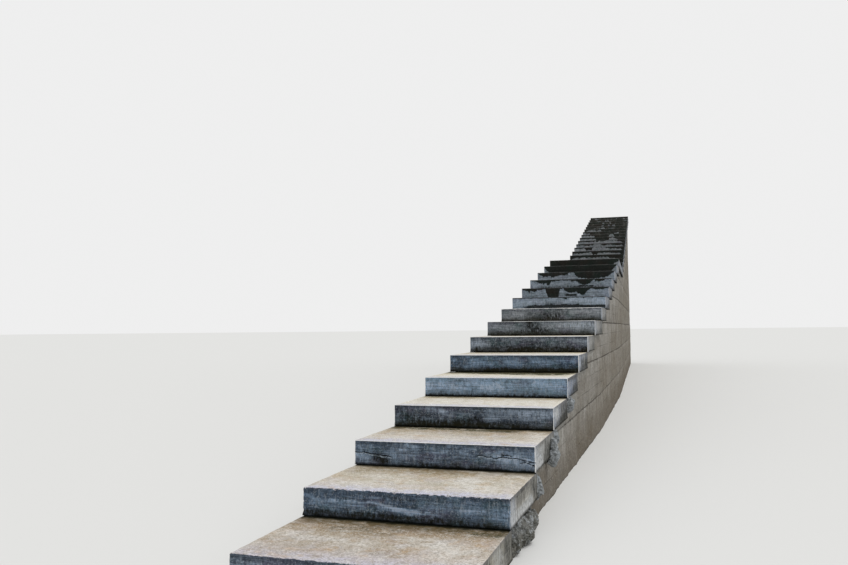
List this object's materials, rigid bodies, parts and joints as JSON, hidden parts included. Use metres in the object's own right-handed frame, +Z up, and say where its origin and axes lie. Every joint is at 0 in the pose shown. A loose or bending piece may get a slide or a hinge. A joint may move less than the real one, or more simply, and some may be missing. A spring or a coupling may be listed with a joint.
{
  "type": "outdoor concrete stair",
  "caption": "Long garden stair of separately cast concrete blocks, with a landing and a path that bends gently left, on rough cast foundation walls.",
  "frame": {"origin": "centre of the underside of the lowest step, on the ground", "axes": "+Y uphill along the first flight, +X to the right going up, +Z up"},
  "size_m": [1.906, 23.4827, 4.8],
  "materials": {
    "step_concrete": "weathered, board formed on the risers and floated on the treads",
    "wall_concrete": "rough cast against the ground",
    "spilled_concrete": "lumpy, as it set"
  },
  "bodies": {
    "root": {"step_01": "step_concrete", "step_02": "step_concrete", "step_03": "step_concrete", "step_04": "step_concrete", "step_05": "step_concrete", "step_06": "step_concrete", "step_07": "step_concrete", "step_08": "step_concrete", "step_09": "step_concrete", "step_10": "step_concrete", "step_11": "step_concrete", "step_12": "step_concrete", "step_13": "step_concrete", "step_14": "step_concrete", "step_15": "step_concrete", "step_16": "step_concrete", "step_17": "step_concrete", "step_18": "step_concrete", "step_19": "step_concrete", "step_20": "step_concrete", "step_21": "step_concrete", "step_22": "step_concrete", "step_23": "step_concrete", "step_24": "step_concrete", "step_25": "step_concrete", "step_26": "step_concrete", "step_27": "step_concrete", "step_28": "step_concrete", "step_29": "step_concrete", "step_30": "step_concrete", "step_31": "step_concrete", "landing_slab_1": "step_concrete", "landing_slab_2": "step_concrete", "landing_slab_3": "step_concrete", "lower_wall_left": "wall_concrete", "lower_wall_right": "wall_concrete", "middle_wall_left": "wall_concrete", "middle_wall_right": "wall_concrete", "landing_wall_left": "wall_concrete", "landing_wall_right": "wall_concrete", "upper_wall_left": "wall_concrete", "upper_wall_right": "wall_concrete", "landing_cross_wall": "wall_concrete", "back_wall": "wall_concrete", "spilled_concrete": "spilled_concrete"}
  },
  "joints": []
}
